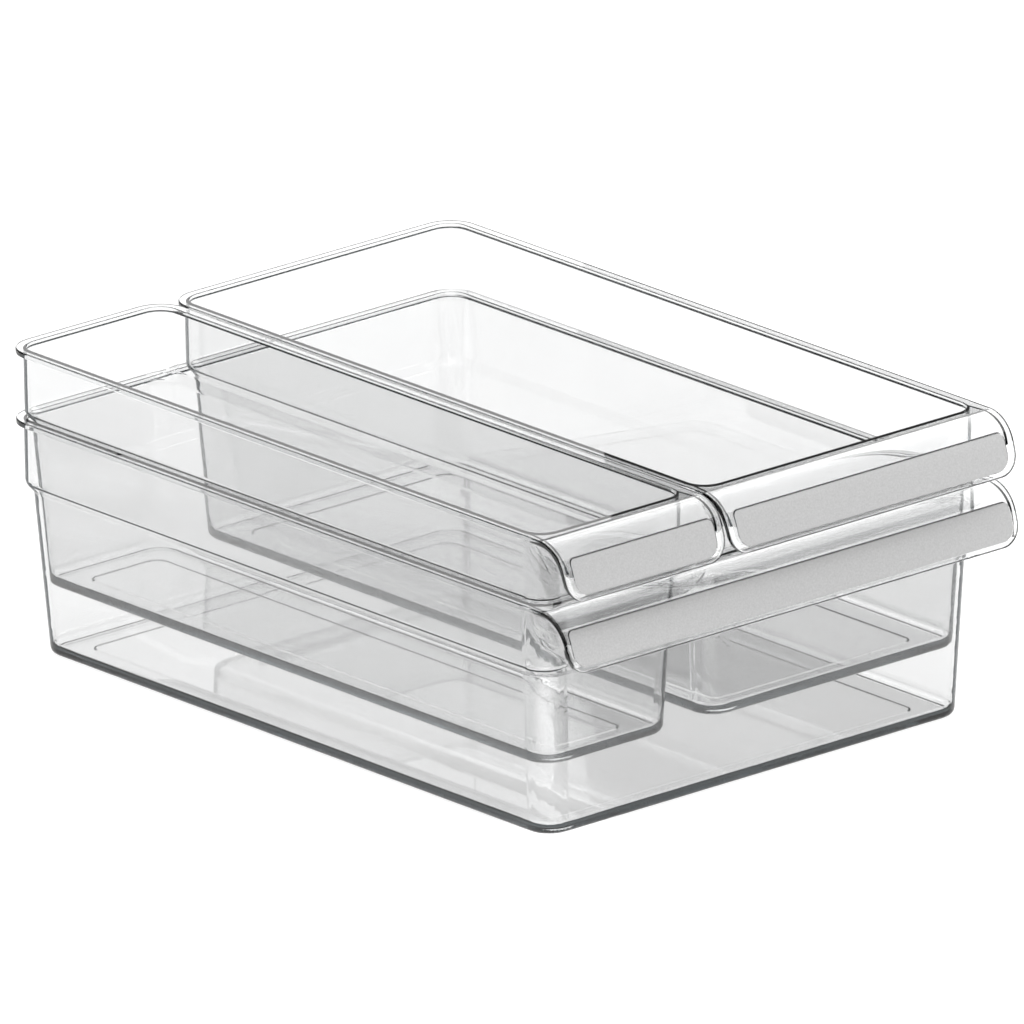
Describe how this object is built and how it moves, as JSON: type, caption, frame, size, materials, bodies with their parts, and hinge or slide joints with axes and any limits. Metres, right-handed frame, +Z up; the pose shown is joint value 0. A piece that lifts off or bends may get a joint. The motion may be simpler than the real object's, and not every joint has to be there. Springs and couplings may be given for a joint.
{
  "type": "fridge bin",
  "caption": "Clear plastic fridge bin with a curved front lip handle and lift-out insert bins that hang in its rim, each with a frosted label panel.",
  "frame": {"origin": "on the floor, under the middle of the whole set, handles included", "axes": "+X to the right seen from the front, +Y from the handles to the back, +Z up"},
  "size_m": [0.215, 0.3169, 0.117],
  "materials": {
    "clear_plastic": "clear, polished",
    "frosted_plastic": "frosted, fine grain"
  },
  "bodies": {
    "large": {"large_bin": "clear_plastic", "large_label_panel": "frosted_plastic"},
    "narrow": {"narrow_bin": "clear_plastic", "narrow_label_panel": "frosted_plastic"},
    "wide": {"wide_bin": "clear_plastic", "wide_label_panel": "frosted_plastic"}
  },
  "joints": [
    {"name": "narrow_lift", "type": "slide", "parent": "large", "child": "narrow", "axis": [0, 0, 1], "range_m": [0, 0.1]},
    {"name": "wide_lift", "type": "slide", "parent": "large", "child": "wide", "axis": [0, 0, 1], "range_m": [0, 0.1]}
  ]
}
